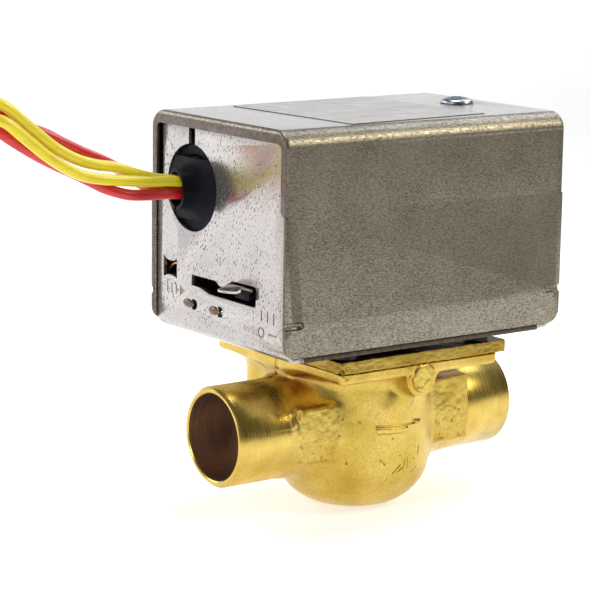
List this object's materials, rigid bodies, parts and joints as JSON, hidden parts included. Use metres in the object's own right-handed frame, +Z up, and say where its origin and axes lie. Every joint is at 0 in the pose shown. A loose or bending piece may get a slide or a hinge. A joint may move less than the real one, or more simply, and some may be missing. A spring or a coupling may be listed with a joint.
{
  "type": "zone valve",
  "caption": "Motorised zone valve: forged brass body with solder sockets, sheet-steel actuator head with a manual lever, and yellow and red leads.",
  "frame": {"origin": "centre of the body's flat underside, on the axis of the valve chamber", "axes": "+Z up the valve chamber to the head's top; X along the pipe, with the wired end of the head and port A at -X"},
  "size_m": [0.1925, 0.0755, 0.1116],
  "materials": {
    "brass": "forged and tumbled",
    "turned_brass": "turned",
    "galvanised": "zinc-coated sheet",
    "steel": "zinc-plated",
    "spring_wire": "copper-washed wire",
    "black_plastic": "moulded",
    "brown_plastic": "moulded",
    "rubber": "moulded",
    "fibre": "pressed fibre",
    "foil": "blank foil label",
    "yellow_pvc": "extruded insulation",
    "red_pvc": "extruded insulation"
  },
  "bodies": {
    "valve": {"valve_body": "brass", "bonnet_plate": "brass", "stem_bushing": "turned_brass", "stem_bearing": "turned_brass", "switch_terminal_1": "turned_brass", "switch_terminal_2": "turned_brass", "switch_terminal_3": "turned_brass", "chassis": "galvanised", "motor_plate": "galvanised", "motor_gearbox": "galvanised", "motor_can": "galvanised", "switch_bracket": "galvanised", "bonnet_screw_1": "steel", "bonnet_screw_2": "steel", "bonnet_screw_3": "steel", "bonnet_screw_4": "steel", "head_screw_1": "steel", "head_screw_2": "steel", "stem_retainer": "steel", "motor_post_1": "steel", "motor_post_2": "steel", "motor_post_3": "steel", "motor_post_4": "steel", "plate_screw_1": "steel", "plate_screw_2": "steel", "plate_screw_3": "steel", "plate_screw_4": "steel", "switch_screw_1": "steel", "switch_screw_2": "steel", "cover_nut": "steel", "bushing_nut": "black_plastic", "return_spring": "spring_wire", "lead_bushing": "black_plastic", "end_switch_body": "brown_plastic", "motor_wire_outlet": "brown_plastic", "bonnet_gasket": "rubber", "stem_o_ring_lower": "rubber", "stem_o_ring_upper": "rubber", "heat_insulator": "fibre", "lead_yellow_1": "yellow_pvc", "lead_yellow_2": "yellow_pvc", "inner_lead_yellow_1": "yellow_pvc", "inner_lead_yellow_2": "yellow_pvc", "lead_red_1": "red_pvc", "lead_red_2": "red_pvc", "inner_lead_red_1": "red_pvc", "inner_lead_red_2": "red_pvc", "lead_coil": "red_pvc"},
    "drive": {"stem": "steel", "stem_clip": "steel", "ball_arm": "turned_brass", "rubber_ball": "rubber", "sector_gear": "turned_brass", "spring_pin": "steel", "manual_lever": "steel"},
    "pinion": {"motor_pinion": "steel"},
    "switch_plunger": {"end_switch_plunger": "brown_plastic"},
    "cover_group": {"cover": "galvanised", "cover_screw": "steel", "blank_label": "foil"}
  },
  "joints": [
    {"name": "valve_drive", "type": "hinge", "parent": "valve", "child": "drive", "pos_m": [0, 0.011, 0.05], "axis": [0, 0, 1], "range_deg": [-20, 0]},
    {"name": "pinion_spin", "type": "hinge", "parent": "valve", "child": "pinion", "pos_m": [0.02425, -0.003, 0.056], "axis": [0, 0, 1], "range_deg": [0, 80]},
    {"name": "switch_press", "type": "slide", "parent": "valve", "child": "switch_plunger", "axis": [0, -1, 0], "range_m": [0, 0.0015], "stiffness_N_per_m": 150},
    {"name": "cover_lift", "type": "slide", "parent": "valve", "child": "cover_group", "axis": [0, 0, 1], "range_m": [0, 0.06]}
  ],
  "couplings": [
    {"joint": "pinion_spin", "follows": "valve_drive", "ratio": -4}
  ]
}
